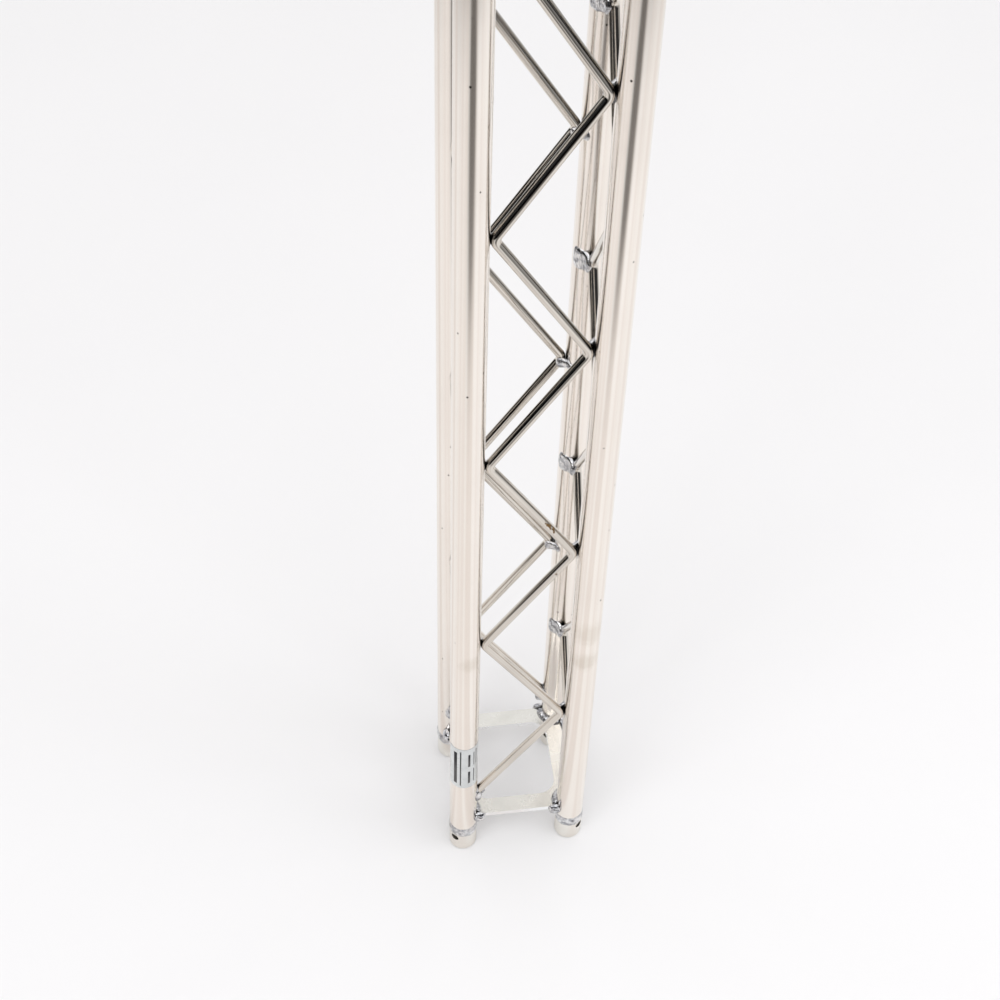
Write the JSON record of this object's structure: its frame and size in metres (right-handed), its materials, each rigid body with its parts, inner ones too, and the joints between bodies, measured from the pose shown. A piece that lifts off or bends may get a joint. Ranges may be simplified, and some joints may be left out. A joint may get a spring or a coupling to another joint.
{
  "type": "lighting truss section",
  "caption": "Square welded aluminium truss section with tubular chords, zigzag rod lacing on every face, ring plates near the ends and pinned coupler receivers.",
  "frame": {"origin": "centre of the square of the bottom end faces", "axes": "+Z along the truss towards its top end, -Y out of the front face that carries the label at its left chord"},
  "size_m": [0.1014, 0.1014, 1],
  "materials": {
    "chord_tube": "satin drawn tube",
    "lacing_rod": "bright drawn rod",
    "receiver": "fine turned",
    "plate": "mill finish",
    "weld": "bright rippled weld bead",
    "label": "silver film sticker"
  },
  "bodies": {
    "root": {"chord_front_left": "chord_tube", "chord_front_right": "chord_tube", "chord_back_right": "chord_tube", "chord_back_left": "chord_tube", "lacing_front": "lacing_rod", "lacing_right": "lacing_rod", "lacing_back": "lacing_rod", "lacing_left": "lacing_rod", "receiver_bottom_front_left": "receiver", "receiver_bottom_front_right": "receiver", "receiver_bottom_back_right": "receiver", "receiver_bottom_back_left": "receiver", "end_frame_bottom": "plate", "receiver_welds_bottom": "weld", "end_frame_welds_bottom": "weld", "receiver_top_front_left": "receiver", "receiver_top_front_right": "receiver", "receiver_top_back_right": "receiver", "receiver_top_back_left": "receiver", "end_frame_top": "plate", "receiver_welds_top": "weld", "end_frame_welds_top": "weld", "lacing_welds_front": "weld", "lacing_welds_right": "weld", "lacing_welds_back": "weld", "lacing_welds_left": "weld", "label": "label"}
  },
  "joints": []
}
